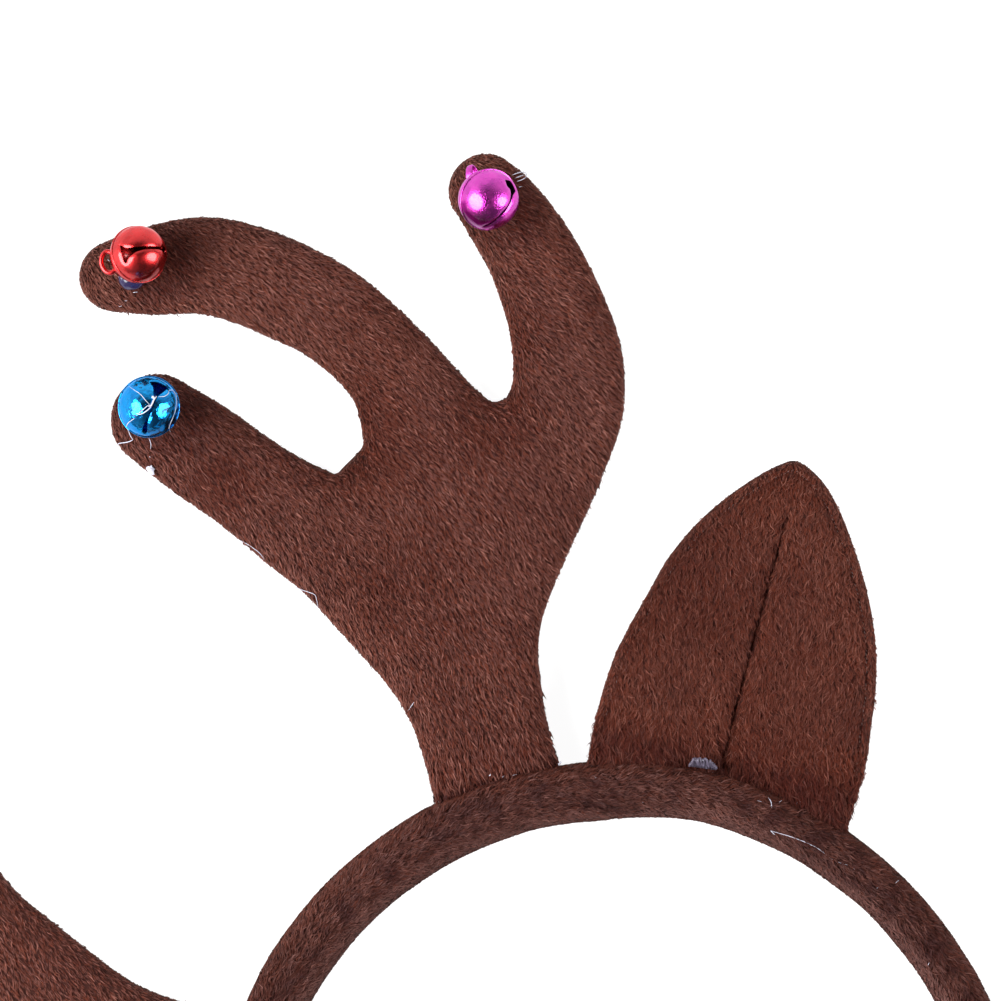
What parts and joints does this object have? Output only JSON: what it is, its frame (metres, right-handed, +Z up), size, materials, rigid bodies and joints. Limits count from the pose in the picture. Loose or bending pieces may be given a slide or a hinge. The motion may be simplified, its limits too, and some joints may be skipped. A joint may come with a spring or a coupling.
{
  "type": "reindeer antler headband",
  "caption": "Plush-wrapped headband with padded three-tine antlers, stitched ears and small jingle bells on the tine tips, lying on its back.",
  "frame": {"origin": "centre of the bounding box at its lowest level, which is the surface the headband lies on", "axes": "+Z up, the front of the headband (bell side); +Y from the head towards the antlers; +X to the right seen from the front"},
  "size_m": [0.2196, 0.239, 0.0204],
  "materials": {
    "band_plush": "short dark brown plush, pile along the band",
    "antler_plush": "short dark brown plush over thin foam",
    "ear_plush": "short reddish brown plush, stitched margin",
    "red_metal": "glossy anodised red",
    "blue_metal": "glossy anodised blue",
    "pink_metal": "glossy anodised magenta",
    "glue": "set clear hot-melt glue"
  },
  "bodies": {
    "root": {"headband": "band_plush", "antler_right": "antler_plush", "antler_left": "antler_plush", "ear_right": "ear_plush", "ear_left": "ear_plush", "bell_red_right": "red_metal", "bell_red_left": "red_metal", "bell_blue_right": "blue_metal", "bell_blue_left": "blue_metal", "bell_pink_right": "pink_metal", "bell_pink_left": "pink_metal", "glue_red_right": "glue", "glue_red_left": "glue", "glue_blue_right": "glue", "glue_blue_left": "glue", "glue_pink_right": "glue", "glue_pink_left": "glue"}
  },
  "joints": []
}
